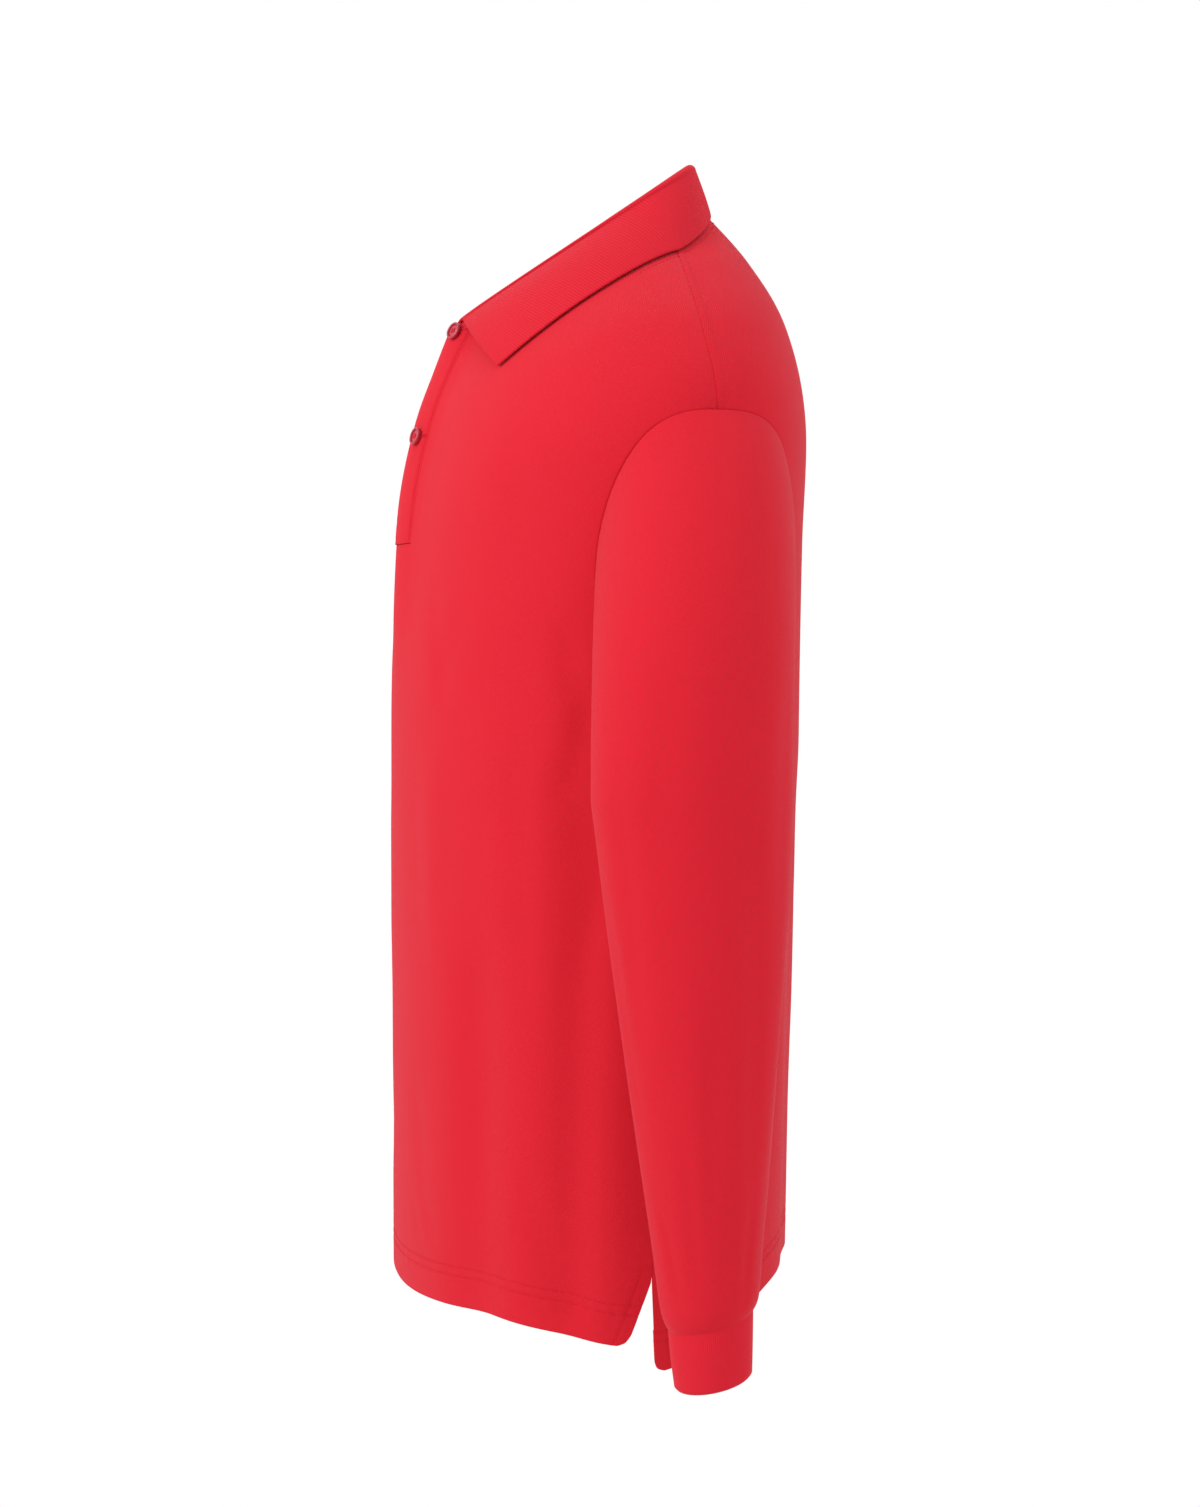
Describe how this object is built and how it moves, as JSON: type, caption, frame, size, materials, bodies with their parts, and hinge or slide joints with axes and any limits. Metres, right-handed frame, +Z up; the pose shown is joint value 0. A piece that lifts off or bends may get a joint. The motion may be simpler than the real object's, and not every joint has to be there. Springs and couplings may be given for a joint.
{
  "type": "long-sleeve polo shirt",
  "caption": "Long-sleeve pique polo shirt with a flat-knit collar, a buttoned half placket, ribbed cuffs and side vents, hollow and filled out as if worn.",
  "frame": {"origin": "midway between the two points where the shoulder seams meet the neckline, where the wearer's shoulders hold the shirt up", "axes": "+Z up, along the body's length; -Y to the wearer's front; +X to the wearer's left"},
  "size_m": [0.6792, 0.2747, 0.8008],
  "materials": {
    "pique": "red cotton pique knit, matt, with a fine honeycomb texture",
    "rib": "red flat-knit rib, matt, with fine raised lines",
    "button": "dyed-to-match red button, satin"
  },
  "bodies": {
    "root": {"front": "pique", "back": "pique", "sleeve_left": "pique", "sleeve_right": "pique", "cuff_left": "rib", "cuff_right": "rib", "collar": "rib", "placket_top": "pique", "placket_under": "pique", "button_upper": "button", "button_lower": "button"}
  },
  "joints": []
}
